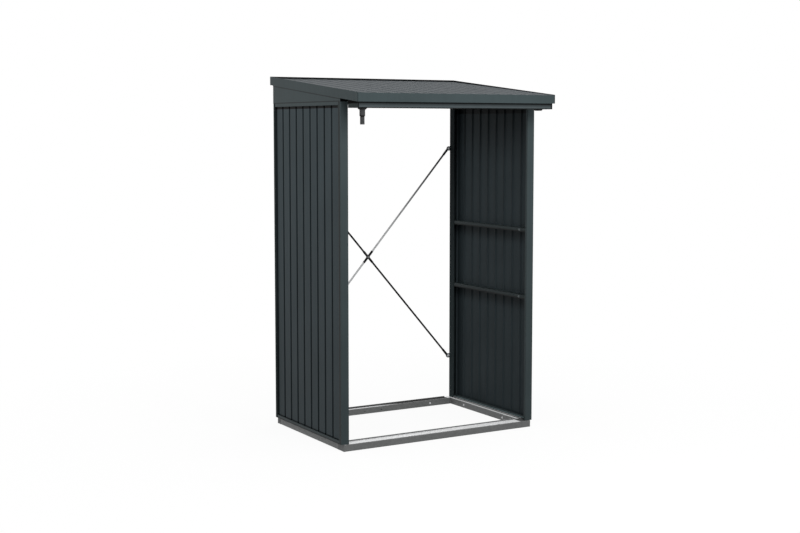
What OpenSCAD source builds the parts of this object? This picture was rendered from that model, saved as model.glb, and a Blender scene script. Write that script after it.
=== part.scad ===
// Open-fronted sheet-steel log store: a base ring, two ribbed side walls,
// a lean-to roof with a gutter, and a cross brace over the open back.
// Origin at the centre of the roof's plan, on the ground. Front is -Y.

/* [Overall] */
// Width of the base ring
base_w = 1202; // [960:2:1560]
// Depth of the base ring
base_d = 815; // [640:5:1000]
// Height of the top of the walls
wall_top = 1836; // [1500:1:2240]

/* [Base] */
// Height of the front and back base rails
base_h = 37; // [25:1:60]
// Width of the front base rail, as a step
base_front_w = 68; // [50:1:100]
// Width of the side base rails
base_side_w = 45; // [42:1:50]
// Width of the back base rail
base_back_w = 41; // [30:1:60]
// Upstand behind the front step and behind the back rail
base_lip = 6; // [3:1:10]
// Width of the pressed slot in each side rail
slot_w = 13; // [8:1:16]
// Depth of the pressed slot
slot_d = 3; // [2:0.5:6]
// Distance of the slot from the side rail's inner edge
slot_in = 16; // [12:1:20]
// Distance of the slot's front end from the base's front
slot_front = 130; // [90:5:200]
// Distance of the slot's back end from the base's back
slot_back = 64; // [50:2:200]
// Diameter of the fixing holes
fix_dia = 7; // [4:0.5:10]
// Spacing of the two fixing holes in the back rail
fix_gap = 114; // [60:2:300]
// Distance of the side rails' fixing holes from the base's back
fix_back = 69; // [60:1:200]

/* [Walls] */
// Overhang of each wall outside the base ring
wall_overhang = 14; // [8:1:20]
// Set-back of the wall ends from the base ends
wall_inset = 3; // [1:1:6]
// Width of the posts' front and back faces
post_w = 46; // [38:1:55]
// Width of the posts' outer faces
post_outer = 25; // [18:1:40]
// Width of the front posts' inner return
post_inner_front = 16; // [10:1:30]
// Width of the back posts' inner face
post_inner_back = 50; // [40:1:80]
// Height of the walls' top and bottom rails
rail_h = 18; // [12:1:30]
// Height of the shelf rails' faces
shelf_h = 22; // [14:1:40]
// Height of the lower shelf rail's top edge
shelf_low_z = 754; // [500:1:900]
// Height of the upper shelf rail's top edge
shelf_high_z = 1136; // [1000:1:1400]

/* [Sheet] */
// Thickness of posts, rails and fascias
frame_t = 1.5; // [1:0.1:3]
// Thickness of the ribbed sheet
sheet_t = 1; // [0.6:0.1:1.5]
// Spacing of the sheet's grooves
groove_pitch = 84; // [60:1:120]
// Width of a groove at the face of the sheet
groove_w = 17; // [12:1:24]
// Width of a groove at its bottom
groove_floor = 7; // [4:1:10]
// Depth of a groove
groove_d = 6; // [3:0.5:8]
// Set-back of the wall sheet from the posts' outer faces
panel_recess = 7; // [4:0.5:12]

/* [Roof] */
// Roof overhang in front of the base ring
front_overhang = 184; // [150:2:240]
// Roof overhang behind the base ring
back_overhang = 33; // [27:1:60]
// Height of the roof's front edge above the walls
eaves = 45; // [36:1:60]
// Rise of the roof from front to back
roof_rise = 109; // [60:1:180]
// Height of the fascias
fascia_h = 48; // [36:1:80]
// Drop of the roof sheet below the fascia, at the front
drop_front = 3; // [2:0.5:6]
// Drop of the roof sheet below the fascia, at the back
drop_back = 9; // [6:0.5:16]
// Width of the ledges that carry the sides of the roof sheet
ledge_w = 14; // [10:1:24]
// Depth of the front and back headers
header_d = 40; // [24:1:60]

/* [Gutter] */
// Front of the gutter behind the front fascia's face
gutter_inset = 14; // [10:1:30]
// Depth of the gutter, front to back
gutter_d = 98; // [60:1:130]
// Drop of the gutter's underside below the roof's front edge
gutter_drop = 79; // [66:1:95]
// Height of the gutter's sides
gutter_h = 60; // [40:1:64]
// Gap between each end of the gutter and the side fascia
gutter_gap = 6; // [4:1:20]
// Thickness of the gutter's end caps
cap_t = 2; // [1.5:0.5:4]
// Distance of the outlet from the roof's side
outlet_in = 53; // [45:1:120]
// Distance of the outlet behind the gutter's front
outlet_back = 30; // [28:1:60]
// Distance of the blanking plug from the roof's other side
plug_in = 81; // [45:1:160]
// Diameter of the outlet's collar
collar_dia = 47; // [40:1:60]
// Diameter of the outlet's upper step
spigot_upper_dia = 29; // [26:1:36]
// Diameter of the outlet's lower step
spigot_lower_dia = 23; // [20:1:25]
// Bore of the outlet
outlet_bore = 17; // [12:1:18]
// Length of each step of the outlet
spigot_len = 38; // [25:1:60]

/* [Brace] */
// Height of the lower brace bolts
brace_low_z = 295; // [200:1:500]
// Drop of the upper brace bolts below the walls' top
brace_top_drop = 261; // [120:1:400]
// Distance of the brace bolts inside the posts
brace_in = 7; // [7:0.5:14]
// Diameter of the brace rods
rod_dia = 11; // [6:0.5:12]
// Diameter of the hub's sockets
socket_dia = 14; // [13:0.5:18]
// Reach of the hub's sockets from the crossing
socket_reach = 44; // [30:1:80]
// Thickness of the brace brackets
bracket_t = 4; // [3:0.5:6]
// Width of the brace brackets
bracket_h = 26; // [22:1:40]
// Diameter of the brace bolts' holes
brace_hole = 8.4; // [6.4:0.2:9]

/* [Hidden] */
$fn = 48;

// Clearance between pieces that are screwed or hooked together
seat = 0.2;
// Clearance of a square end inside a folded corner
tuck = 0.5;
// Radius of a fold, on the middle of the sheet
bend_r = 2.2;
// Radius of the ribbed sheet's folds
groove_bend_r = 1.4;
// Width of a folded-in edge
hem_w = 12;
// Least flat strip beside the first and last groove of a wall sheet
panel_edge = 8;

base_front = -(base_d + front_overhang + back_overhang) / 2 + front_overhang;
base_back = base_front + base_d;
base_x = base_w / 2;
base_in_x = base_x - base_side_w;
// The side rails' laps cover the front and back rails' corners
lap_t = 1;
lap_w = 20;
fix_z = base_h / 2 - 3;
fix_shift = 8;
side_rail_h = base_h + lap_t;

wall_x = base_x + wall_overhang;
wall_front = base_front + wall_inset;
wall_back = base_back - wall_inset + 1;
wall_z = side_rail_h;
post_in_x = wall_x - post_w;
in_y0 = wall_front + frame_t + tuck;
in_y1 = wall_back - frame_t - tuck;
out_y0 = wall_front + post_outer + seat;
out_y1 = wall_back - post_outer - seat;
panel_x = wall_x - panel_recess;
panel_in_x = panel_x - groove_d - sheet_t;
panel_z0 = wall_z + frame_t + seat;
panel_z1 = wall_top - frame_t - seat;
rail_leg_x = panel_in_x - 10;

roof_x = wall_x + frame_t + tuck;
roof_front = base_front - front_overhang;
roof_back = base_back + back_overhang;
roof_d = roof_back - roof_front;
front_h = wall_top + eaves;
total_h = front_h + roof_rise;
fascia_slope = roof_rise / roof_d;
sheet_slope = (roof_rise - drop_back + drop_front) / roof_d;
fascia_in_x = roof_x - frame_t;
roof_in_front = roof_front + frame_t;
roof_in_back = roof_back - frame_t;
header_x = wall_x - frame_t - hem_w - seat;

gutter_y0 = roof_front + gutter_inset;
gutter_y1 = gutter_y0 + gutter_d;
gutter_x = fascia_in_x - gutter_gap;
gutter_z = front_h - gutter_drop;
outlet_x = -(roof_x - outlet_in);
outlet_y = gutter_y0 + outlet_back;
plug_x = roof_x - plug_in;
collar_h = 8;
chamfer = 3;

brace_x = post_in_x - brace_in;
brace_high_z = wall_top - brace_top_drop;
brace_mid_z = (brace_low_z + brace_high_z) / 2;
brace_half = (brace_high_z - brace_low_z) / 2;
brace_len = sqrt(brace_x * brace_x + brace_half * brace_half);
brace_angle = atan2(brace_half, brace_x);
bracket_y1 = wall_back + seat + bracket_t;
eye_t = 6;
eye_dia = 19;
tab_len = 24;
end_socket_len = 28;
end_socket_wall = 1.5;
hub_t = 8;
hub_wall = 2;
// Middle plane of the brace
brace_y = bracket_y1 + seat + eye_t / 2;

paint = "#40494c";
paint_dark = "#30373a";
base_grey = "#5c5e5e";
zinc = "#a9acae";
rubber = "#232626";

// Height of the fascias' top edge at y
function fascia_z(y) = front_h + fascia_slope * (y - roof_front);
// Height of the roof sheet's flat face at y
function sheet_z(y) = front_h - drop_front + sheet_slope * (y - roof_front);

function unit(v) = v / norm(v);
function left_of(v) = [-v[1], v[0]];
// Signed angle from direction a to direction b
function turn(a, b) = atan2(a[0] * b[1] - a[1] * b[0], a * b);
function rotated(v, a) = [v[0] * cos(a) - v[1] * sin(a), v[0] * sin(a) + v[1] * cos(a)];

// Points of one face of a bend at path point i, offset to the left by off
function bend(path, i, off, r, steps) =
    let (a = unit(path[i] - path[i - 1]),
         b = unit(path[i + 1] - path[i]),
         angle = turn(a, b),
         side = sign(angle),
         start = path[i] - a * r * tan(abs(angle) / 2),
         centre = start + left_of(a) * side * r,
         spoke = left_of(a) * (off - side * r))
    [for (k = [0:steps]) centre + rotated(spoke, angle * k / steps)];

// One face of a folded sheet, from end to end
function face(path, off, r, steps) =
    let (last = len(path) - 1)
    concat(
        [path[0] + left_of(unit(path[1] - path[0])) * off],
        [for (i = [1:last - 1]) each bend(path, i, off, r, steps)],
        [path[last] + left_of(unit(path[last] - path[last - 1])) * off]);

function reversed(v) = [for (i = [len(v) - 1:-1:0]) v[i]];

// Outline of a sheet of thickness t folded along its middle line
module folded(path, t, r, steps) {
    polygon(concat(face(path, t / 2, r, steps), reversed(face(path, -t / 2, r, steps))));
}

// Middle line of a ribbed sheet: flat faces at 0, grooves down to -groove_d
function groove_path(width, count) =
    concat(
        [[-width / 2, 0]],
        [for (i = [0:count - 1])
            let (c = (i - (count - 1) / 2) * groove_pitch)
            each [[c - groove_w / 2, 0], [c - groove_floor / 2, -groove_d],
                  [c + groove_floor / 2, -groove_d], [c + groove_w / 2, 0]]],
        [[width / 2, 0]]);

// Grooves that fit in a width with a flat strip at each side, at least as wide as edge
function groove_count(width, edge) = floor((width - groove_w - 2 * edge) / groove_pitch) + 1;

// Box between two corners
module block(x0, x1, y0, y1, z0, z1) {
    translate([x0, y0, z0]) cube([x1 - x0, y1 - y0, z1 - z0]);
}

// Upright folded profile, from z0 to z1
module upright(path, t, z0, z1) {
    translate([0, 0, z0]) linear_extrude(z1 - z0) folded(path, t, bend_r, 3);
}

// Profile in the Y-Z plane, extruded from x0 to x1
module along_x(x0, x1) {
    translate([x0, 0, 0]) rotate([90, 0, 90]) linear_extrude(x1 - x0) children();
}

// Profile in the X-Z plane, extruded from y0 to y1
module along_y(y0, y1) {
    translate([0, y1, 0]) rotate([90, 0, 0]) linear_extrude(y1 - y0) children();
}

module left_side() {
    mirror([1, 0, 0]) children();
}

// Base ring

// Inverted channel of the given width across the front or back, with closed
// ends and an upstand along the edge at lip_y
module base_cross_rail(y, width, lip_y) {
    y0 = y + frame_t / 2;
    y1 = y + width - frame_t / 2;
    top = base_h - frame_t / 2;
    foot = frame_t / 2;
    lip_x = base_in_x - lap_w - seat;
    along_x(-base_x, base_x)
        folded([[y0 + hem_w, foot], [y0, foot], [y0, top], [y1, top], [y1, foot], [y1 - hem_w, foot]],
            frame_t, bend_r, 3);
    for (x = [-base_x, base_x - frame_t])
        block(x, x + frame_t, y + frame_t / 2, y + width - frame_t / 2, frame_t / 2, base_h - frame_t / 2);
    block(-lip_x, lip_x, lip_y - frame_t / 2, lip_y + frame_t / 2, base_h - bend_r, base_h + base_lip);
}

// The front rail is a low step with its upstand behind
module base_front_rail() {
    color(base_grey)
        base_cross_rail(base_front, base_front_w, base_front + base_front_w - frame_t / 2);
}

// The back rail has its upstand outside and two fixing holes inside
module base_back_rail() {
    inner = base_back - base_back_w;
    color(base_grey) difference() {
        base_cross_rail(inner, base_back_w, base_back - frame_t / 2);
        for (x = [-fix_gap / 2 + fix_shift, fix_gap / 2 + fix_shift])
            translate([x, inner - frame_t, fix_z]) rotate([-90, 0, 0]) cylinder(d = fix_dia, h = 3 * frame_t);
    }
}

// Inverted channel between the front and back rails, with a pressed slot in its
// top and laps over the corners
module base_side_rail() {
    x0 = base_in_x + frame_t / 2;
    x1 = base_x - frame_t / 2;
    y0 = base_front + base_front_w + seat;
    y1 = base_back - base_back_w - seat;
    top = side_rail_h - frame_t / 2;
    foot = frame_t / 2;
    slot_x0 = base_in_x + slot_in;
    slot_x1 = slot_x0 + slot_w;
    slot_y0 = base_front + slot_front;
    slot_y1 = base_back - slot_back;
    color(base_grey) difference() {
        union() {
            along_y(y0, y1)
                folded([[x0 + hem_w, foot], [x0, foot], [x0, top], [x1, top], [x1, foot], [x1 - hem_w, foot]],
                    frame_t, bend_r, 3);
            block(slot_x0 - frame_t, slot_x1 + frame_t, slot_y0 - frame_t, slot_y1 + frame_t,
                side_rail_h - slot_d - frame_t, top);
            block(base_in_x - lap_w, base_x, base_front, y0 - seat, base_h, side_rail_h);
            block(base_in_x + bend_r, base_x - bend_r, y0 - 2 * seat, y0 + hem_w, base_h, side_rail_h);
            block(base_in_x - lap_w, base_x, y1 + seat, base_back - frame_t - seat, base_h, side_rail_h);
            block(base_in_x + bend_r, base_x - bend_r, y1 - hem_w, y1 + 2 * seat, base_h, side_rail_h);
        }
        block(slot_x0, slot_x1, slot_y0, slot_y1, side_rail_h - slot_d, side_rail_h + 1);
        for (y = [slot_y0 + slot_w / 2, slot_y1 - slot_w / 2])
            translate([(slot_x0 + slot_x1) / 2, y, base_h / 2]) cylinder(d = slot_w - 2, h = base_h);
        translate([base_in_x - frame_t, base_back - fix_back, fix_z])
            rotate([0, 90, 0]) cylinder(d = fix_dia, h = 3 * frame_t);
    }
}

module base_left_rail() { left_side() base_side_rail(); }
module base_right_rail() { base_side_rail(); }

// Side walls, drawn on the right

// C-shaped post: outer face, front face and a short inner return
module front_post() {
    x0 = post_in_x + frame_t / 2;
    x1 = wall_x - frame_t / 2;
    y = wall_front + frame_t / 2;
    color(paint)
        upright([[x0, wall_front + post_inner_front], [x0, y], [x1, y], [x1, wall_front + post_outer]],
            frame_t, wall_z, wall_top);
}

// C-shaped post with a wide inner face that carries the brace brackets
module back_post() {
    x0 = post_in_x + frame_t / 2;
    x1 = wall_x - frame_t / 2;
    y = wall_back - frame_t / 2;
    color(paint)
        upright([[x0, wall_back - post_inner_back], [x0, y], [x1, y], [x1, wall_back - post_outer]],
            frame_t, wall_z, wall_top);
}

module wall_panel() {
    width = in_y1 - in_y0;
    color(paint)
        translate([panel_x - sheet_t / 2, (in_y0 + in_y1) / 2, panel_z0])
            linear_extrude(panel_z1 - panel_z0)
                rotate(-90)
                    folded(groove_path(width, groove_count(width, panel_edge)), sheet_t, groove_bend_r, 1);
}

// Channel between the posts that holds the sheet's end; open upwards when up is 1
module wall_rail(z, up) {
    web_z0 = up == 1 ? z : z - frame_t;
    leg_z0 = up == 1 ? z : z - rail_h;
    color(paint) {
        block(rail_leg_x, wall_x - frame_t - tuck, in_y0, in_y1, web_z0, web_z0 + frame_t);
        block(rail_leg_x, rail_leg_x + frame_t, in_y0, in_y1, leg_z0, leg_z0 + rail_h);
        block(rail_leg_x, wall_x, out_y0, out_y1, web_z0, web_z0 + frame_t);
        block(wall_x - frame_t, wall_x, out_y0, out_y1, leg_z0, leg_z0 + rail_h);
    }
}

// Angle across the inside of a wall, behind the posts' inner returns
module shelf_rail(top_z) {
    x0 = post_in_x + frame_t + tuck + frame_t / 2;
    x1 = panel_in_x - seat;
    color(paint)
        along_y(in_y0, in_y1)
            folded([[x0, top_z - shelf_h], [x0, top_z - frame_t / 2], [x1, top_z - frame_t / 2]],
                frame_t, bend_r, 3);
}

// Flat infill between the wall and the roof, with a foot and end returns
module gable() {
    x1 = wall_x;
    x0 = x1 - frame_t;
    y0 = wall_front;
    y1 = wall_back;
    z0 = wall_top;
    top0 = sheet_z(y0) - sheet_t - frame_t - 2 * seat;
    top1 = sheet_z(y1) - sheet_t - frame_t - 2 * seat;
    inner = x0 - hem_w;
    color(paint) {
        along_x(x0, x1) polygon([[y0, z0], [y1, z0], [y1, top1], [y0, top0]]);
        block(inner, x1, y0, y1, z0, z0 + frame_t);
        along_x(inner, x1)
            polygon([[y0, z0], [y0 + frame_t, z0], [y0 + frame_t, top0 - groove_d], [y0, top0 - groove_d]]);
        along_x(inner, x1)
            polygon([[y1 - frame_t, z0], [y1, z0], [y1, top1 - groove_d - frame_t],
                     [y1 - frame_t, top1 - groove_d - frame_t]]);
    }
}

module left_front_post() { left_side() front_post(); }
module right_front_post() { front_post(); }
module left_back_post() { left_side() back_post(); }
module right_back_post() { back_post(); }
module left_wall_panel() { left_side() wall_panel(); }
module right_wall_panel() { wall_panel(); }
module left_top_rail() { left_side() wall_rail(wall_top, -1); }
module right_top_rail() { wall_rail(wall_top, -1); }
module left_bottom_rail() { left_side() wall_rail(wall_z, 1); }
module right_bottom_rail() { wall_rail(wall_z, 1); }
module left_upper_shelf_rail() { left_side() shelf_rail(shelf_high_z); }
module right_upper_shelf_rail() { shelf_rail(shelf_high_z); }
module left_lower_shelf_rail() { left_side() shelf_rail(shelf_low_z); }
module right_lower_shelf_rail() { shelf_rail(shelf_low_z); }
module left_gable() { left_side() gable(); }
module right_gable() { gable(); }

// Roof

// Channel across the opening on top of the posts, its face at y and its back inwards
module header(y, inward) {
    y0 = y + inward * frame_t / 2;
    y1 = y + inward * header_d;
    top = sheet_z(min(y, y1)) - groove_d - sheet_t - seat - frame_t / 2;
    foot = wall_top + frame_t / 2;
    color(paint_dark)
        along_x(-header_x, header_x)
            folded([[y1, foot], [y0, foot], [y0, top], [y1, top]], frame_t, bend_r, 3);
}

module front_header() { header(wall_front, 1); }
module back_header() { header(wall_back, -1); }

module roof_sheet() {
    width = 2 * (fascia_in_x - seat);
    tilt = atan(sheet_slope);
    y1 = roof_in_back - seat - (groove_d + sheet_t) * sin(tilt);
    length = (y1 - roof_in_front - seat) / cos(tilt);
    color("#62686a")
        translate([0, y1, sheet_z(y1)])
            rotate([90 + tilt, 0, 0])
                linear_extrude(length)
                    translate([0, -sheet_t / 2])
                        folded(groove_path(width, groove_count(width, ledge_w + seat)), sheet_t, groove_bend_r, 1);
}

// Face of the roof on one side, with a ledge under the sheet
module side_fascia() {
    color(paint) {
        along_x(fascia_in_x, roof_x)
            polygon([[roof_front, front_h - fascia_h], [roof_back, total_h - fascia_h],
                     [roof_back, total_h], [roof_front, front_h]]);
        y0 = roof_in_front + gutter_inset + gutter_d + seat;
        y1 = roof_in_back - seat - hem_w;
        under = sheet_t + seat;
        along_x(fascia_in_x - ledge_w, roof_x - frame_t / 2)
            polygon([[y0, sheet_z(y0) - under - frame_t], [y1, sheet_z(y1) - under - frame_t],
                     [y1, sheet_z(y1) - under], [y0, sheet_z(y0) - under]]);
    }
}

// Front face of the roof, with a return that the gutter hangs from
module roof_front_fascia() {
    x = fascia_in_x - seat;
    y = roof_front;
    z0 = front_h - fascia_h;
    z1 = front_h - drop_front;
    color(paint) {
        block(-x, x, y, y + frame_t, z0, z1);
        block(-x, x, y, gutter_y0 - seat, z0, z0 + frame_t);
    }
}

// Back face of the roof, with a return at its foot
module roof_back_fascia() {
    x = fascia_in_x - seat;
    color(paint) {
        block(-x, x, roof_in_back, roof_back, total_h - fascia_h, total_h);
        block(-x, x, roof_back - hem_w, roof_back, total_h - fascia_h, total_h - fascia_h + frame_t);
    }
}

module roof_left_fascia() { left_side() side_fascia(); }
module roof_right_fascia() { side_fascia(); }

// Gutter

// Open trough behind the front fascia, drained at its left end and plugged at its right
module gutter() {
    y0 = gutter_y0 + frame_t / 2;
    y1 = gutter_y1 - frame_t / 2;
    z0 = gutter_z + frame_t / 2;
    z1 = gutter_z + gutter_h;
    x = gutter_x - cap_t - seat;
    color(paint) difference() {
        along_x(-x, x)
            folded([[y0, z1], [y0, z0], [y1, z0], [y1, z1]], frame_t, bend_r, 3);
        for (x = [outlet_x, plug_x])
            translate([x, outlet_y, gutter_z - frame_t]) cylinder(d = outlet_bore + 2, h = 3 * frame_t);
    }
}

// Plate that closes one end of the gutter
module gutter_cap() {
    color(rubber) block(gutter_x - cap_t, gutter_x, gutter_y0, gutter_y1, gutter_z, gutter_z + gutter_h);
}

module gutter_left_cap() { left_side() gutter_cap(); }
module gutter_right_cap() { gutter_cap(); }

// Stepped hose outlet under the gutter
module gutter_outlet() {
    r0 = collar_dia / 2;
    r1 = spigot_upper_dia / 2;
    r2 = spigot_lower_dia / 2;
    bore = outlet_bore / 2;
    h1 = collar_h;
    h2 = h1 + spigot_len;
    h3 = h2 + spigot_len;
    color(rubber)
        translate([outlet_x, outlet_y, gutter_z - seat])
            rotate_extrude()
                polygon([[bore, 0], [r0, 0], [r0, -h1 / 2], [r1 + chamfer, -h1], [r1, -h1 - chamfer],
                         [r1, -h2 + chamfer], [r2, -h2], [r2, -h3], [bore, -h3]]);
}

// Plug that closes the gutter's other drain hole, with the outlet's collar
module gutter_plug() {
    r0 = collar_dia / 2;
    stem = outlet_bore / 2;
    color(rubber)
        translate([plug_x, outlet_y, gutter_z - seat])
            rotate_extrude()
                polygon([[0, seat + frame_t], [stem, seat + frame_t], [stem, 0], [r0, 0], [r0, -collar_h / 2],
                         [spigot_upper_dia / 2 + chamfer, -collar_h], [0, -collar_h]]);
}

// Cross brace

// Draws its children along +X from the crossing, turned up by angle
module along_brace(angle) {
    translate([0, brace_y, brace_mid_z]) rotate([0, -angle, 0]) children();
}

// Round bar along X
module bar(x0, x1, dia) {
    translate([x0, 0, 0]) rotate([0, 90, 0]) cylinder(d = dia, h = x1 - x0);
}

// Round disc or hole across the brace's plane
module disc(x, dia, thickness) {
    translate([x, thickness / 2, 0]) rotate([90, 0, 0]) cylinder(d = dia, h = thickness);
}

// Rod from the hub to a flat eye behind its bracket
module brace_rod(angle) {
    tab_x = brace_len - tab_len;
    socket_x = tab_x - end_socket_len;
    color(zinc) along_brace(angle) difference() {
        union() {
            bar(socket_reach + seat, socket_x, rod_dia);
            bar(socket_x, tab_x, rod_dia + 2 * end_socket_wall);
            block(tab_x, brace_len, -eye_t / 2, eye_t / 2, -rod_dia / 2 - 1, rod_dia / 2 + 1);
            disc(brace_len, eye_dia, eye_t);
        }
        disc(brace_len, brace_hole, 2 * eye_t);
    }
}

module upper_right_brace_rod() { brace_rod(brace_angle); }
module lower_right_brace_rod() { brace_rod(-brace_angle); }
module upper_left_brace_rod() { brace_rod(180 - brace_angle); }
module lower_left_brace_rod() { brace_rod(180 + brace_angle); }

// Disc at the crossing with a socket for each rod
module brace_hub() {
    // The sockets start where they stand clear of each other
    socket_x = socket_dia / 2 / tan(min(brace_angle, 90 - brace_angle)) + tuck;
    color(rubber) {
        for (angle = [brace_angle, -brace_angle, 180 - brace_angle, 180 + brace_angle])
            along_brace(angle) bar(socket_x, socket_reach, socket_dia);
        along_brace(0) disc(0, 2 * (socket_x + hub_wall), hub_t);
    }
}

// Strap on the back of a post, with a rounded end that holds the rod's bolt
module brace_bracket(z) {
    y0 = wall_back + seat;
    color(paint_dark) difference() {
        union() {
            block(brace_x, wall_x - hem_w, y0, bracket_y1, z - bracket_h / 2, z + bracket_h / 2);
            translate([brace_x, bracket_y1, z]) rotate([90, 0, 0]) cylinder(d = bracket_h, h = bracket_t);
        }
        translate([brace_x, bracket_y1 + 1, z]) rotate([90, 0, 0]) cylinder(d = brace_hole, h = bracket_t + 2);
    }
}

module upper_left_brace_bracket() { left_side() brace_bracket(brace_high_z); }
module lower_left_brace_bracket() { left_side() brace_bracket(brace_low_z); }
module upper_right_brace_bracket() { brace_bracket(brace_high_z); }
module lower_right_brace_bracket() { brace_bracket(brace_low_z); }

base_front_rail();
base_back_rail();
base_left_rail();
base_right_rail();
left_front_post();
left_back_post();
left_wall_panel();
left_top_rail();
left_bottom_rail();
left_upper_shelf_rail();
left_lower_shelf_rail();
left_gable();
right_front_post();
right_back_post();
right_wall_panel();
right_top_rail();
right_bottom_rail();
right_upper_shelf_rail();
right_lower_shelf_rail();
right_gable();
front_header();
back_header();
roof_sheet();
roof_front_fascia();
roof_back_fascia();
roof_left_fascia();
roof_right_fascia();
gutter();
gutter_left_cap();
gutter_right_cap();
gutter_outlet();
gutter_plug();
brace_hub();
upper_left_brace_rod();
lower_left_brace_rod();
upper_right_brace_rod();
lower_right_brace_rod();
upper_left_brace_bracket();
lower_left_brace_bracket();
upper_right_brace_bracket();
lower_right_brace_bracket();
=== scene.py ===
"""Looks of an open-fronted sheet-steel log store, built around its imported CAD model.

Lengths are in metres. X runs to the right, Y to the back and Z up, from the ground under the store's middle.
"""

import math

import bmesh
import bpy
from mathutils import Matrix, Vector


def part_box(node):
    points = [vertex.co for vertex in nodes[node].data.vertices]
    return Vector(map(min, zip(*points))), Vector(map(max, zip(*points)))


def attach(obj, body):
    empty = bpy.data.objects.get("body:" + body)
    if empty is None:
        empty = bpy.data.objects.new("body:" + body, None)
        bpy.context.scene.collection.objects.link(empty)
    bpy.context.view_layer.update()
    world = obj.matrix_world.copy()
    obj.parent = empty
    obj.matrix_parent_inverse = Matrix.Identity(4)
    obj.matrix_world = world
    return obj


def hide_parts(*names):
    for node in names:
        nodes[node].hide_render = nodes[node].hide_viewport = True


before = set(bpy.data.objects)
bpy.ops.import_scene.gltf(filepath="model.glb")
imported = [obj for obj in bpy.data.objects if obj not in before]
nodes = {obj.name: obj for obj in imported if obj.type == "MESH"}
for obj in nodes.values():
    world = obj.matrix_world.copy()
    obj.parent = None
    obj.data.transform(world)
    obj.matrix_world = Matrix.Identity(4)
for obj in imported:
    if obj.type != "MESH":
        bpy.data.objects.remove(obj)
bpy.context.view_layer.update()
scene = bpy.context.scene

# ---------------------------------------------------------------- shader nodes

NOISE_RANGE = (0.3, 0.7)    # holds most of a noise texture's values
SQUARE = 0.3                # what x times the normal's x passes on a side piece's faces that are square to X
FORWARD = -0.5              # what the normal's y is below on faces that look forward


class Nodes:
    """Short calls for the nodes of one material or world."""

    def __init__(self, tree):
        self.tree = tree

    def add(self, kind, **values):
        made = self.tree.nodes.new(kind)
        for key, value in values.items():
            setattr(made, key, value)
        return made

    def put(self, value, socket):
        """Link the value if it is another node's output, or else set it."""
        if isinstance(value, bpy.types.NodeSocket):
            self.tree.links.new(value, socket)
        else:
            socket.default_value = value

    def math(self, operation, a, b=0.0, clamp=False):
        made = self.add("ShaderNodeMath", operation=operation, use_clamp=clamp)
        self.put(a, made.inputs[0])
        self.put(b, made.inputs[1])
        return made.outputs[0]

    def times(self, *factors):
        product = factors[0]
        for factor in factors[1:]:
            product = self.math("MULTIPLY", product, factor)
        return product

    def over(self, value, limit):
        """1 where value is over the limit, else 0."""
        return self.math("GREATER_THAN", value, limit)

    def under(self, value, limit):
        """1 where value is under the limit, else 0."""
        return self.math("LESS_THAN", value, limit)

    def inside(self, value, low, high):
        """1 where value is between low and high, else 0."""
        return self.times(self.over(value, low), self.under(value, high))

    def either(self, a, b):
        """The larger of two masks."""
        return self.math("MAXIMUM", a, b)

    def ramp(self, value, low, high, to_low=0.0, to_high=1.0, interpolation="SMOOTHSTEP"):
        """Goes from to_low to to_high while value goes from low to high, and stays there beyond."""
        made = self.add("ShaderNodeMapRange", interpolation_type=interpolation)
        for socket, number in zip(made.inputs, (value, low, high, to_low, to_high)):
            self.put(number, socket)
        return made.outputs[0]

    def pick(self, mask, off, on):
        """off where the mask is 0, and on where it is 1."""
        return self.ramp(mask, 0, 1, off, on)

    def dim(self, mask, factor):
        """1 where the mask is 0, and the factor where it is 1."""
        return self.pick(mask, 1, factor)

    def mix(self, factor, a, b, blend="MIX"):
        made = self.add("ShaderNodeMix", data_type="RGBA", blend_type=blend)
        self.put(factor, made.inputs[0])
        self.put(a, made.inputs[6])
        self.put(b, made.inputs[7])
        return made.outputs[2]

    def shade(self, colour, factor):
        """Colour times a grey factor."""
        grey = self.add("ShaderNodeCombineColor")
        for socket in grey.inputs:
            self.put(factor, socket)
        return self.mix(1.0, colour, grey.outputs[0], "MULTIPLY")

    def background_rays(self):
        """1 for camera, glossy and transmission rays, which see the white background, else 0."""
        rays = self.add("ShaderNodeLightPath").outputs
        seen = self.math("ADD", rays["Is Camera Ray"], rays["Is Glossy Ray"], clamp=True)
        return self.math("ADD", seen, rays["Is Transmission Ray"], clamp=True)


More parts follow.
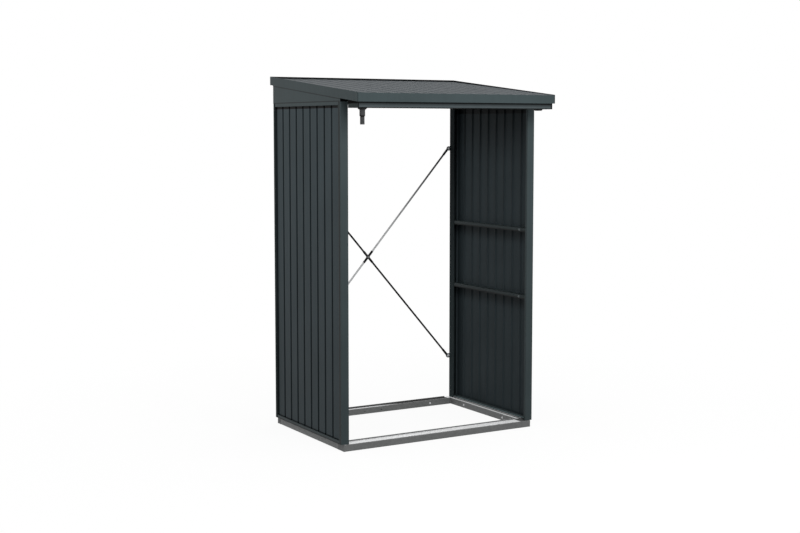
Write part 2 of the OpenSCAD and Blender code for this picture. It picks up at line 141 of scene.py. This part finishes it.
class Shader(Nodes):
    """A finish, made from each point's place and the way its face looks."""

    def __init__(self, name):
        self.material = bpy.data.materials.new(name)
        self.material.use_nodes = True
        super().__init__(self.material.node_tree)
        self.surface = self.tree.nodes["Principled BSDF"]
        geometry = self.add("ShaderNodeNewGeometry").outputs
        self.place = geometry["Position"]
        self.x, self.y, self.z = self.split(self.place)
        self.nx, self.ny, self.nz = self.split(geometry["True Normal"])
        self.side = self.math("ABSOLUTE", self.x)
        self.outward = self.times(self.nx, self.x)

    def split(self, vector):
        made = self.add("ShaderNodeSeparateXYZ")
        self.put(vector, made.inputs[0])
        return made.outputs

    def faces_out(self, least=0.0):
        """1 on faces that look away from the plane between the walls, else 0."""
        return self.over(self.outward, least)

    def faces_in(self, least=0.0):
        """1 on faces that look towards the plane between the walls, else 0."""
        return self.under(self.outward, -least)

    def faces_front(self):
        """1 on faces that look forward, else 0."""
        return self.under(self.ny, FORWARD)

    def noise(self, scale, detail=2.0, stretch=(1, 1, 1)):
        mapping = self.add("ShaderNodeMapping")
        self.put(self.place, mapping.inputs["Vector"])
        mapping.inputs["Scale"].default_value = stretch
        made = self.add("ShaderNodeTexNoise")
        self.put(mapping.outputs[0], made.inputs["Vector"])
        made.inputs["Scale"].default_value = scale
        made.inputs["Detail"].default_value = detail
        return made.outputs[0]

    def spread(self, noise, low, high):
        """Noise that wanders between low and high."""
        return self.ramp(noise, *NOISE_RANGE, low, high)

    def varied(self, scale, amount, detail=2.0, stretch=(1, 1, 1)):
        """A factor that wanders around 1 by about the amount."""
        return self.spread(self.noise(scale, detail, stretch), 1 - amount, 1 + amount)

    def bump(self, height, strength, distance):
        made = self.add("ShaderNodeBump")
        made.inputs["Strength"].default_value = strength
        made.inputs["Distance"].default_value = distance
        self.put(height, made.inputs["Height"])
        self.put(made.outputs[0], self.surface.inputs["Normal"])

    def finish(self, colour, roughness, metallic=0.0, specular=0.5):
        """The material, once its surface is set."""
        self.put(colour, self.surface.inputs["Base Color"])
        self.put(roughness, self.surface.inputs["Roughness"])
        self.put(metallic, self.surface.inputs["Metallic"])
        self.surface.inputs["Specular IOR Level"].default_value = specular
        return self.material


def srgb(*levels):
    """Linear colour of three 8-bit display levels."""
    linear = (((v / 255 + 0.055) / 1.055) ** 2.4 if v > 10 else v / 255 / 12.92 for v in levels)
    return (*linear, 1.0)


# ---------------------------------------------------------- places on the frame

MARGIN = 0.001              # takes in a face that lies exactly at a limit
SHEET_T = 0.001             # thickness of the ribbed sheets

wall_low, wall_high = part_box("right_wall_panel")
WALL_OUT = wall_high.x
GROOVE = wall_high.x - wall_low.x - SHEET_T
RAIL_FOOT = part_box("right_top_rail")[0].z
SILL_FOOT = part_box("right_bottom_rail")[0].z
SILL_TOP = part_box("right_bottom_rail")[1].z
GABLE_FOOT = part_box("right_gable")[0].z
SHELF_RAILS = ("upper", "lower")
SHELF_FEET = [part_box(f"right_{rail}_shelf_rail")[0].z for rail in SHELF_RAILS]

POST_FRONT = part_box("right_front_post")[0].y
FRONT_POST_JOINT = (POST_FRONT + 0.006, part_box("right_front_post")[1].y - 0.003)
BACK_POST_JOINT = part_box("right_back_post")[1].y - 0.012

rim_low, rim_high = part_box("roof_back_fascia")
fascia_low, fascia_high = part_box("roof_left_fascia")
FALL = (fascia_high.z - fascia_low.z - (rim_high.z - rim_low.z)) / (fascia_high.y - fascia_low.y)
FRONT_FASCIA_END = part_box("roof_front_fascia")[1].x
gutter_low, gutter_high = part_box("gutter")
outlet_low, outlet_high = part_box("gutter_outlet")
COLLAR_FOOT, STEP_FOOT, SPOUT_FOOT = 0.008, 0.043, 0.084    # below the outlet's top

BACK_RAIL_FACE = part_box("base_back_rail")[0].y
FLANGE_FOLD = BACK_RAIL_FACE + 0.018
FRONT_LAP_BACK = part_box("base_front_rail")[1].y
LAP_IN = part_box("base_right_rail")[0].x
# Inside the side rail's box: its inner face, and its pressed slot with a hole at each end
SIDE_RAIL_IN = 0.556
SLOT_IN, SLOT_OUT = 0.572, 0.585
SLOT_HOLES = (-0.1955, 0.4125)

hub_low, hub_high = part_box("brace_hub")
hub_middle = (hub_low + hub_high) / 2

# -------------------------------------------------- marks and painted light: factors on the colour
# A factor under 1 darkens the finish there. A ramp's numbers are two places and the factors at them.


def wall_painted_shade(s):
    """Painted shade: dark grooves, dark gaps beside the rails that frame the sheet, and shade under the roof
    and shelf rails.
    """
    rail_shadow_band, sill_shadow_band, shelf_shade = 0.014, 0.005, 0.11
    outside = s.faces_out()
    depth = s.ramp(s.side, WALL_OUT - GROOVE * 0.4, WALL_OUT - GROOVE * 0.05)
    inner_groove_shade = s.ramp(s.z, 0.4, 1.7, 0.92, 0.6)
    # Painted shade in the grooves, darker on the outside
    groove_shade = s.pick(depth, s.pick(outside, inner_groove_shade, 0.3), 1.0)
    # Painted shadow in the gaps under the top rail and over the bottom rail
    shadow_under_rail = s.times(outside, s.inside(s.z, RAIL_FOOT - rail_shadow_band, RAIL_FOOT))
    shadow_on_sill = s.times(outside, s.inside(s.z, SILL_TOP, SILL_TOP + sill_shadow_band))
    # Inside: painted shade towards the roof, beside the top rail and under each shelf rail
    shade_towards_roof = s.ramp(s.z, 1.45, RAIL_FOOT, 0.85, 0.45)
    shade_beside_rail = s.ramp(s.z, RAIL_FOOT - 0.04, RAIL_FOOT - 0.03, 1, 0.2)
    inner = s.times(shade_towards_roof, shade_beside_rail)
    for foot in SHELF_FEET:
        shade_below_shelf = s.times(s.under(s.z, foot), s.ramp(s.z, foot - shelf_shade, foot))
        inner = s.times(inner, s.dim(shade_below_shelf, 0.5))
    return s.times(groove_shade, s.dim(shadow_under_rail, 0.02), s.dim(shadow_on_sill, 0.2), s.pick(outside, inner, 1))


def shelf_painted_shade(s):
    """Painted shade: the rail darker all over, and darker still at its lower edge."""
    edge = 0.007
    edges = [s.inside(s.z, foot - MARGIN, foot + edge) for foot in SHELF_FEET]
    return s.times(0.64, s.dim(s.either(*edges), 0.3))


def gable_seam_and_painted_shade(s):
    """Seam on the top rail, painted shade under the side fascia's sloping edge, and painted shade on the dark
    front ends.
    """
    seam, gap = 0.005, 0.006
    fascia_edge = s.math("ADD", s.times(s.math("SUBTRACT", s.y, fascia_low.y), FALL), fascia_low.z)
    shade_under_fascia = s.inside(s.math("SUBTRACT", fascia_edge, s.z), 0, gap)
    on_rail = s.inside(s.z, GABLE_FOOT - MARGIN, GABLE_FOOT + seam)
    return s.times(s.dim(shade_under_fascia, 0.5), s.dim(on_rail, 0.4), s.dim(s.faces_front(), 0.05))


def sill_painted_light_and_shade(s):
    """Painted shadow where the wall's bottom rail stands on the base, and a painted light edge over it
    inside.
    """
    joint_in, joint_out, edge_top = SILL_FOOT + 0.003, SILL_FOOT + 0.006, SILL_FOOT + 0.009
    joint = s.under(s.z, s.pick(s.faces_out(), joint_in, joint_out))
    edge = s.times(s.faces_in(SQUARE), s.inside(s.z, joint_in, edge_top))
    return s.times(s.dim(joint, 0.3), s.dim(edge, 4.5))


def back_post_painted_shade(s):
    """Painted shade on the faces that look into the store, deeper under the roof, and at the joint with the
    sheet.
    """
    inner = s.either(s.faces_front(), s.faces_in())
    joint = s.times(s.faces_out(SQUARE), s.under(s.y, BACK_POST_JOINT))
    return s.times(s.dim(inner, s.ramp(s.z, 0.3, 1.6, 0.85, 0.27)), s.dim(joint, 0.35))


def front_post_painted_shade(s):
    """Painted shade on the post's side at the joint with the sheet."""
    return s.dim(s.times(s.faces_out(SQUARE), s.inside(s.y, *FRONT_POST_JOINT)), 0.3)


def header_painted_shade(s):
    """Painted deep shade behind the gutter."""
    return s.dim(s.faces_front(), 0.08)


def gutter_painted_light_and_shade(s):
    """Painted shadow in the gap under the fascia, a painted light foot, and painted shade in the dark folds
    at the trough's foot and ends.
    """
    gap_foot = fascia_low.z - 0.008
    foot_fold, end_fold = 0.004, 0.008
    folds = s.either(s.under(s.z, gutter_low.z + foot_fold), s.over(s.side, gutter_high.x - end_fold))
    tone = s.ramp(s.z, gutter_low.z + 0.006, gap_foot, 1.75, 0.8)
    return s.times(tone, s.dim(s.over(s.z, gap_foot), 0.3), s.dim(folds, 0.12))


def cap_painted_shadow(s):
    """Painted black shadow in the gap between the gutter's end cap and the fascia above it."""
    return s.dim(s.over(s.z, fascia_low.z - 0.009), 0.02)


def corner_seam_painted_shade(s):
    """Painted shade in the folded corner seam at each end of the front fascia."""
    return s.dim(s.over(s.side, FRONT_FASCIA_END - 0.004), 0.35)


def rim_painted_shade(s):
    """Painted shade on the inner faces of the rims that stand above the roof sheet."""
    return s.dim(s.either(s.faces_in(SQUARE), s.faces_front()), 0.08)


def side_rim_painted_shade(s):
    """Painted shade on the inner faces, as on the back rim, but for the folded front ends."""
    return s.dim(s.faces_in(SQUARE), 0.08)


def roof_painted_shade(s):
    """Thin painted shade where the sheet meets the back rim."""
    return s.dim(s.over(s.y, rim_low.y - 0.004), 0.2)


def spout_painted_shade(s):
    """Painted shade: a dark collar under the trough, and a dark ring where the spout steps in."""
    step = outlet_high.z - STEP_FOOT
    collar = s.over(s.z, outlet_high.z - COLLAR_FOOT)
    step_shade = s.inside(s.z, step - 0.004, step + 0.006)
    return s.times(s.dim(collar, 0.25), s.dim(step_shade, 0.15))


def front_rail_painted_light(s, level):
    """Painted light: the step's tread is bright, and the ledge in front of the posts is dull."""
    ledge = s.times(level, s.under(s.y, POST_FRONT + MARGIN))
    return s.pick(ledge, 1.02, 0.235)


def back_rail_painted_light_and_shade(s, level):
    """Painted shade on a flange that fades to dark on the right but is bright at its end, and painted light
    on the lighter faces inside the frame.
    """
    # Painted shade: the flange dims towards the right wall and along its back strip; inside faces get painted
    # light
    flange = s.pick(s.over(s.x, LAP_IN), s.ramp(s.x, 0.02, 0.22, 0.9, 0.1), 1.0)
    shade_in_fold = s.times(s.over(s.y, FLANGE_FOLD), level)
    face = s.times(s.faces_front(), s.under(s.y, FLANGE_FOLD))
    return s.times(s.dim(level, flange), s.dim(shade_in_fold, 0.12), s.dim(face, 1.25))


def side_rail_lap_and_painted_light(s, level):
    """Bright inner strip from the level faces' painted gleam, painted shade on the dull outer one and the
    dark slot with black ends, a dark lap, and painted light on the lighter upright faces.
    """
    hole_shade, lap_edge = 0.015, 0.01
    outer = s.times(level, s.over(s.side, SLOT_IN))
    slot = s.times(level, s.inside(s.side, SLOT_IN, SLOT_OUT))
    hole_shadow = s.times(slot, s.either(*(s.inside(s.y, y - hole_shade, y + hole_shade) for y in SLOT_HOLES)))
    lap = s.times(level, s.over(s.x, LAP_IN - lap_edge), s.under(s.y, FRONT_LAP_BACK + MARGIN))
    upright = s.either(s.faces_in(SQUARE), s.faces_out(SQUARE))
    # Painted shade on the outer strip, slot and holes, the lap's own dark colour, and painted light on the
    # upright faces
    tones = ((hole_shadow, 0.02), (outer, 0.8), (slot, 0.2), (lap, 0.12), (upright, 1.5))
    return s.times(*(s.dim(mask, factor) for mask, factor in tones))


# -------------------------------------------------------------------- finishes

ANTHRACITE = srgb(60, 70, 72)
SHEET_GREY = srgb(60, 70, 74)
ROOF_GREY = srgb(63, 69, 73)
# Painted shade: darker copies of the anthracite for the gutter and its end caps
GUTTER_SHADED_GREY = srgb(52, 58, 60)
CAP_SHADED_GREY = srgb(54, 60, 60)
BOLT_GREY = srgb(100, 106, 108)
# Painted light: bright zinc for level faces, standing for their reflection, and shaded zinc for upright ones
ZINC_LEVEL_PAINTED_GLEAM = srgb(249, 250, 251)
ZINC_UPRIGHT_PAINTED_SHADE = srgb(102, 103, 103)
PLATED = srgb(215, 216, 218)
PLUG_BLACK = srgb(17, 19, 19)
SPOUT_BLACK = srgb(62, 63, 64)


def paint(name, colour, marks_and_painted_light=None, roughness=0.42, specular=0.08):
    """Powder coat: fine grain, faint cloudiness, and painted shade that makes it duller towards the ground.
    """
    s = Shader(name)
    clouds = s.varied(scale=3.5, amount=0.05, detail=3)
    streaks = s.varied(scale=1.0, amount=0.025, detail=3, stretch=(55, 55, 1.2))
    # Painted shade: darker towards the ground
    shade_towards_ground = s.ramp(s.z, 0.0, 1.9, 0.7, 1.04)
    factor = s.times(clouds, streaks, shade_towards_ground)
    if marks_and_painted_light:
        factor = s.times(factor, marks_and_painted_light(s))
    s.bump(s.noise(1400), strength=0.12, distance=0.0002)
    rough = s.spread(s.noise(260), roughness - 0.05, roughness + 0.06)
    return s.finish(s.shade(colour, factor), rough, specular=specular)


def zinc_with_painted_light(name, marks_and_painted_light, gleam=(0.05, 0.05)):
    """Galvanised sheet with painted light: dull upright faces, and level ones painted bright as a reflection,
    metallic by the left and right gleam.
    """
    s = Shader(name)
    cells = s.add("ShaderNodeTexVoronoi")
    s.put(s.place, cells.inputs["Vector"])
    cells.inputs["Scale"].default_value = 95
    spangle = s.ramp(s.split(cells.outputs["Color"])[0], 0, 1, 0.94, 1.04)
    level = s.ramp(s.nz, 0.6, 0.95)
    factor = s.times(spangle, s.varied(scale=9, amount=0.04, detail=3), marks_and_painted_light(s, level))
    s.bump(s.noise(700), strength=0.08, distance=0.0002)
    rough = s.spread(s.noise(60, detail=3), 0.34, 0.46)
    metallic = s.pick(level, 0.15, s.ramp(s.x, 0.0, 0.12, *gleam))
    # Painted light: level faces get the bright copy of the zinc, upright faces the shaded one
    colour = s.mix(level, ZINC_UPRIGHT_PAINTED_SHADE, ZINC_LEVEL_PAINTED_GLEAM)
    return s.finish(s.shade(colour, factor), rough, metallic, specular=0.05)


def painted_bright_reflection(s):
    """Painted reflection: bright metal that fades to black towards the rod's upper end."""
    return s.mix(s.ramp(s.x, -0.02, 0.6), srgb(196, 197, 198), srgb(12, 13, 14))


def painted_dark_reflection(s):
    """Painted dark reflection: black that is a little lighter near the roof."""
    return s.mix(s.ramp(s.z, 0.5, 1.4), srgb(14, 15, 16), srgb(26, 27, 28))


def rod(name, tone, specular):
    """Drawn rod with fine scratches, coloured by the given tone, which holds its painted reflection."""
    s = Shader(name)
    scratches = s.varied(scale=1.0, amount=0.08, detail=3, stretch=(900, 900, 40))
    s.bump(s.noise(1200), strength=0.1, distance=0.0001)
    rough = s.spread(s.noise(300), 0.34, 0.46)
    return s.finish(s.shade(tone(s), scratches), rough, specular=specular)


def hub_metal_painted_highlight():
    """Dark cast joint with a painted highlight on its middle."""
    s = Shader("hub_metal_painted_highlight")
    up = s.math("SUBTRACT", s.z, hub_middle.z)
    away = s.math("SQRT", s.math("ADD", s.times(s.x, s.x), s.times(up, up)))
    # Painted highlight: lighter in the middle, dark further out
    colour = s.mix(s.ramp(away, 0.004, 0.010), srgb(120, 121, 122), srgb(20, 20, 21))
    s.bump(s.noise(900), strength=0.15, distance=0.0002)
    rough = s.spread(s.noise(300), 0.36, 0.48)
    return s.finish(s.shade(colour, s.varied(scale=300, amount=0.08)), rough, specular=0.08)


def plated_metal():
    """Plated screws and nuts."""
    s = Shader("plated_screw")
    s.bump(s.noise(1500), strength=0.1, distance=0.0001)
    rough = s.spread(s.noise(400), 0.24, 0.36)
    return s.finish(s.shade(PLATED, s.varied(scale=600, amount=0.08, detail=3)), rough, metallic=0.3)


def plastic(name, colour, marks_and_painted_light=None):
    """Moulded plastic with a fine spark texture."""
    s = Shader(name)
    s.bump(s.noise(2200, detail=3), strength=0.2, distance=0.0002)
    factor = s.varied(scale=40, amount=0.08, detail=3)
    if marks_and_painted_light:
        factor = s.times(factor, marks_and_painted_light(s))
    return s.finish(s.shade(colour, factor), s.spread(s.noise(500), 0.44, 0.56), specular=0.12)


frame_paint = paint("frame_paint", ANTHRACITE)
wall_paint = paint("wall_paint", SHEET_GREY, wall_painted_shade, specular=0.04)
gable_paint = paint("gable_paint", ANTHRACITE, gable_seam_and_painted_shade)
sill_paint = paint("sill_paint", ANTHRACITE, sill_painted_light_and_shade)
shelf_paint = paint("shelf_paint", ANTHRACITE, shelf_painted_shade)
front_post_paint = paint("front_post_paint", ANTHRACITE, front_post_painted_shade)
back_post_paint = paint("back_post_paint", ANTHRACITE, back_post_painted_shade, roughness=0.6, specular=0.02)
cap_paint = paint("cap_paint", CAP_SHADED_GREY, cap_painted_shadow, roughness=0.6, specular=0.02)
side_rim_paint = paint("side_rim_paint", ANTHRACITE, side_rim_painted_shade)
side_rail_zinc = zinc_with_painted_light("side_rail_zinc", side_rail_lap_and_painted_light)
# Painted reflection: the rods are one metal, coloured as a dark and a bright copy
dark_painted_reflection_rod = rod("dark_painted_reflection_rod", painted_dark_reflection, specular=0.08)
bright_painted_reflection_rod = rod("bright_painted_reflection_rod", painted_bright_reflection, specular=0.2)
black_plastic = plastic("black_plastic", PLUG_BLACK)
plated = plated_metal()

finishes = {
    "front_header": paint("header_paint", ANTHRACITE, header_painted_shade, roughness=0.6, specular=0.02),
    "gutter": paint("gutter_paint", GUTTER_SHADED_GREY, gutter_painted_light_and_shade),
    "gutter_outlet": black_plastic,
    "gutter_plug": black_plastic,
    "roof_sheet": paint("roof_paint", ROOF_GREY, roof_painted_shade, roughness=0.5, specular=0.055),
    "roof_front_fascia": paint("fascia_paint", ANTHRACITE, corner_seam_painted_shade),
    "roof_back_fascia": paint("rim_paint", ANTHRACITE, rim_painted_shade),
    "base_front_rail": zinc_with_painted_light("front_rail_zinc", front_rail_painted_light, gleam=(0.4, 0.0)),
    "base_back_rail": zinc_with_painted_light("back_rail_zinc", back_rail_painted_light_and_shade, gleam=(0.25, 0.0)),
    "brace_hub": hub_metal_painted_highlight(),
    "upper_left_brace_rod": dark_painted_reflection_rod,
    "lower_right_brace_rod": dark_painted_reflection_rod,
    "lower_left_brace_rod": bright_painted_reflection_rod,
    "upper_right_brace_rod": bright_painted_reflection_rod,
}
for side in ("left", "right"):
    finishes |= {
        f"{side}_wall_panel": wall_paint,
        f"{side}_gable": gable_paint,
        f"{side}_top_rail": gable_paint,
        f"{side}_bottom_rail": sill_paint,
        f"{side}_upper_shelf_rail": shelf_paint,
        f"{side}_lower_shelf_rail": shelf_paint,
        f"{side}_front_post": front_post_paint,
        f"{side}_back_post": back_post_paint,
        f"gutter_{side}_cap": cap_paint,
        f"roof_{side}_fascia": side_rim_paint,
        f"base_{side}_rail": side_rail_zinc,
    }
for name, node in nodes.items():
    node.data.materials.clear()
    node.data.materials.append(finishes.get(name, frame_paint))

# ------------------------------------------------------------ screws and bolts

SIDES = 24                  # of each round screw, nut or bolt

# Half width across the flats, height, and the washer's radius and thickness
BASE_SCREW = {"flat": 0.004, "tall": 0.0035, "washer": 0.0065}
SHELF_BOLT = {"flat": 0.005, "tall": 0.004, "washer": 0.0075}
BRACE_BOLT = {"flat": 0.0065, "tall": 0.0053, "washer": 0.008}
BRACKET_SCREW = {"flat": 0.004, "tall": 0.003, "washer": 0.0055, "washer_t": 0.001}
BRACE_NUT = {"flat": 0.0065, "tall": 0.0065, "thread": 0.004, "proud": 0.003}


def ring(radius, height, hexagon=False):
    """Points around Z, on a circle or on a hexagon of that half width across its flats."""
    points = []
    for i in range(SIDES):
        angle = 2 * math.pi * i / SIDES
        reach = radius
        if hexagon:
            reach = radius / math.cos((angle + math.pi / 6) % (math.pi / 3) - math.pi / 6)
        points.append(Vector((reach * math.cos(angle), reach * math.sin(angle), height)))
    return points


def placed_at(point, direction):
    """Matrix that puts Z along the direction at the point."""
    return Matrix.Translation(point) @ Vector(direction).to_track_quat("Z", "Y").to_matrix().to_4x4()


def loft(bm, rings, placed):
    """Closed solid through the rings, in the given place."""
    rows = [[bm.verts.new(placed @ point) for point in points] for points in rings]
    skin(bm, rows)
    bm.faces.new(rows[0][::-1])
    bm.faces.new(rows[-1])


def skin(bm, rows):
    """Faces between each row of points and the next."""
    for low, high in zip(rows, rows[1:]):
        for i in range(len(low)):
            j = (i + 1) % len(low)
            bm.faces.new((low[i], low[j], high[j], high[i]))


def hex_head(bm, point, direction, flat, tall, washer, washer_t=0.0012):
    """Hexagon head on a thin washer, standing on the point, with softened edges."""
    loft(bm, [
        ring(washer - 0.0002, 0), ring(washer, 0.0002),
        ring(washer, washer_t - 0.0003), ring(washer - 0.0004, washer_t),
        ring(flat, washer_t, True), ring(flat, washer_t + tall * 0.8, True),
        ring(flat * 0.97, washer_t + tall * 0.95), ring(flat * 0.86, washer_t + tall),
    ], placed_at(point, direction))


def nut(bm, point, direction, flat, tall, thread, proud):
    """Nut with the thread's end standing out of it, with softened edges."""
    loft(bm, [
        ring(flat * 0.93, 0), ring(flat, tall * 0.12, True),
        ring(flat, tall * 0.88, True), ring(flat * 0.93, tall),
        ring(thread, tall), ring(thread, tall + proud - 0.0006), ring(thread - 0.0008, tall + proud),
    ], placed_at(point, direction))


def piece(name, bm, material, smooth=35):
    """Object on the root body from a finished mesh, smooth except at its sharp edges."""
    bmesh.ops.recalc_face_normals(bm, faces=bm.faces)
    for edge in bm.edges:
        edge.smooth = edge.is_manifold and edge.calc_face_angle(0) < math.radians(smooth)
    for face in bm.faces:
        face.smooth = True
    mesh = bpy.data.meshes.new(name)
    bm.to_mesh(mesh)
    bm.free()
    mesh.materials.append(material)
    made = bpy.data.objects.new(name, mesh)
    scene.collection.objects.link(made)
    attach(made, "root")
    return made


def base_screws():
    """Screws in the inner faces of the base's side rails and in the face of its back rail."""
    back_x, back_z = 0.407, 0.019
    side_ys, side_z = (-0.120, 0.291), 0.018
    bm = bmesh.new()
    for side in (-1, 1):
        hex_head(bm, (side * back_x, BACK_RAIL_FACE, back_z), (0, -1, 0), **BASE_SCREW)
        for y in side_ys:
            hex_head(bm, (side * SIDE_RAIL_IN, y, side_z), (-side, 0, 0), **BASE_SCREW)
    piece("base_screws", bm, plated)


def shelf_rail_bolts():
    """Bolts near the front ends of the shelf rails."""
    from_front = 0.073
    bm = bmesh.new()
    for side in (-1, 1):
        for rail in SHELF_RAILS:
            low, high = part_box(f"right_{rail}_shelf_rail")
            place = (side * low.x, low.y + from_front, (low.z + high.z) / 2)
            hex_head(bm, place, (-side, 0, 0), **SHELF_BOLT)
    piece("shelf_rail_bolts", bm, paint("bolt_paint", BOLT_GREY))


def brace_fixings():
    """Bolt and nut through each brace eye, and two screws in each bracket."""
    eye, eye_back, shank = 0.0095, hub_middle.y + 0.003, 0.0039
    screw_xs = (0.583, 0.597)
    rod_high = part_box("upper_right_brace_rod")[1]
    bolt_x = rod_high.x - eye
    heights = (rod_high.z - eye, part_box("lower_right_brace_rod")[0].z + eye)
    bracket_low, bracket_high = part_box("upper_right_brace_bracket")
    bolts, screws = bmesh.new(), bmesh.new()
    for side in (-1, 1):
        for z in heights:
            head = (side * bolt_x, bracket_low.y, z)
            hex_head(bolts, head, (0, -1, 0), **BRACE_BOLT)
            nut(bolts, (side * bolt_x, eye_back, z), (0, 1, 0), **BRACE_NUT)
            loft(bolts, [ring(shank, 0), ring(shank, eye_back - bracket_low.y)], placed_at(head, (0, 1, 0)))
            for x in screw_xs:
                hex_head(screws, (side * x, bracket_high.y, z), (0, 1, 0), **BRACKET_SCREW)
    piece("brace_bolts", bolts, plated)
    piece("bracket_screws", screws, plated)


# ----------------------------------------------------------------- rain outlet

RIBS = 12
STEPS = 4                   # points around the spout for each rib


def ribbed(radius, height, depth):
    """Points around Z that stand back between the ribs by the depth."""
    count = RIBS * STEPS
    points = []
    for i in range(count):
        reach = radius - (depth if i % STEPS in (1, 2) else 0)
        angle = 2 * math.pi * (i + 0.5) / count
        points.append(Vector((reach * math.cos(angle), reach * math.sin(angle), height)))
    return points


def ribbed_spout():
    """Stepped hose spigot with moulded ribs, open through its bore, in place of the plain outlet."""
    bore, collar, upper, lower = 0.0085, (outlet_high.x - outlet_low.x) / 2, 0.0145, 0.0115
    # Radius, height from the top, and how deep the hollows between the ribs are
    outline = [
        (bore, 0, 0), (collar, 0, 0), (collar, -0.0035, 0), (collar - 0.001, -0.0045, 0),
        (upper + 0.003, -COLLAR_FOOT, 0), (upper, -COLLAR_FOOT - 0.0025, 0),
        (upper, -COLLAR_FOOT - 0.004, 0.0012), (upper, -STEP_FOOT + 0.0065, 0.0012),
        (upper, -STEP_FOOT + 0.005, 0), (upper, -STEP_FOOT + 0.0025, 0),
        (lower, -STEP_FOOT - 0.0002, 0), (lower, -STEP_FOOT - 0.006, 0),
        (lower, -STEP_FOOT - 0.007, 0.001), (lower, -SPOUT_FOOT + 0.012, 0.001),
        (lower, -SPOUT_FOOT + 0.011, 0), (lower, -SPOUT_FOOT + 0.009, 0.0008),
        (lower, -SPOUT_FOOT + 0.006, 0.0008), (lower, -SPOUT_FOOT + 0.005, 0),
        (lower, -SPOUT_FOOT + 0.001, 0), (lower - 0.001, -SPOUT_FOOT, 0), (bore, -SPOUT_FOOT, 0),
    ]
    centre = (outlet_low + outlet_high) / 2
    top = Vector((centre.x, centre.y, outlet_high.z))
    bm = bmesh.new()
    rows = [[bm.verts.new(top + point) for point in ribbed(*corner)] for corner in outline]
    skin(bm, rows + rows[:1])
    spout_plastic = plastic("spout_plastic", SPOUT_BLACK, spout_painted_shade)
    spout = piece("ribbed_spout", bm, spout_plastic, smooth=25)
    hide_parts("gutter_outlet")


base_screws()
shelf_rail_bolts()
ribbed_spout()
brace_fixings()

# ------------------------------------------------------------------------ stage

WHITE = (1, 1, 1, 1)
AMBIENT = 0.76              # the world's light on the object
FLOOR_GREY = (0.55, 0.55, 0.55, 1)
SHADOW_FADE = (1.0, 3.0)    # distance over which the floor's trace of shadow fades out


def floor_material():
    """White where it is seen or reflected, with a trace of shadow near the object, and else grey."""
    made = bpy.data.materials.new("floor")
    made.use_nodes = True
    made.node_tree.nodes.clear()
    s = Nodes(made.node_tree)
    seen = s.background_rays()
    away = s.add("ShaderNodeVectorMath", operation="LENGTH")
    s.put(s.add("ShaderNodeNewGeometry").outputs["Position"], away.inputs[0])
    share = s.ramp(away.outputs["Value"], *SHADOW_FADE, 0.92, 1.0, interpolation="LINEAR")
    diffuse = s.add("ShaderNodeBsdfDiffuse")
    s.put(s.mix(seen, FLOOR_GREY, WHITE), diffuse.inputs[0])
    glow = s.add("ShaderNodeEmission")
    mix = s.add("ShaderNodeMixShader")
    s.put(s.times(seen, share), mix.inputs[0])
    s.put(diffuse.outputs[0], mix.inputs[1])
    s.put(glow.outputs[0], mix.inputs[2])
    s.put(mix.outputs[0], s.add("ShaderNodeOutputMaterial").inputs[0])
    return made


def lay_floor():
    """Wide round floor."""
    bm = bmesh.new()
    bmesh.ops.create_circle(bm, cap_ends=True, segments=64, radius=40)
    mesh = bpy.data.meshes.new("floor")
    bm.to_mesh(mesh)
    bm.free()
    floor = bpy.data.objects.new("floor", mesh)
    floor.data.materials.append(floor_material())
    scene.collection.objects.link(floor)


def light_world():
    """Even white surroundings, dimmer as light than as background."""
    scene.world = bpy.data.worlds.new("studio")
    scene.world.use_nodes = True
    s = Nodes(scene.world.node_tree)
    background = s.tree.nodes["Background"]
    s.put(WHITE, background.inputs[0])
    s.put(s.pick(s.background_rays(), AMBIENT, 1.0), background.inputs[1])


def softbox(name, place, aim, size, power):
    """Rectangular lamp that looks at a point."""
    data = bpy.data.lights.new(name, "AREA")
    data.shape = "RECTANGLE"
    data.size, data.size_y = size
    data.energy = power
    box = bpy.data.objects.new(name, data)
    box.location = place
    box.rotation_euler = (Vector(aim) - Vector(place)).to_track_quat("-Z", "Y").to_euler()
    scene.collection.objects.link(box)


def place_camera():
    """Camera in front of the store and to its left, looking a little down."""
    tilt_down, turn = 5.051, 30.381
    camera = bpy.data.objects.new("camera", bpy.data.cameras.new("camera"))
    camera.location = (-3.8757, -6.4993, 1.7035)
    camera.rotation_euler = (math.radians(90 - tilt_down), 0, math.radians(-turn))
    camera.data.lens = 60.679
    camera.data.sensor_width = 36
    camera.data.shift_y = -0.025
    camera.data.clip_end = 200
    scene.collection.objects.link(camera)
    scene.camera = camera


lay_floor()
light_world()
softbox("key", place=(-0.6, -4.5, 3.5), aim=(0, -0.3, 1.3), size=(3, 2), power=130)
place_camera()
scene.view_settings.view_transform = "Standard"
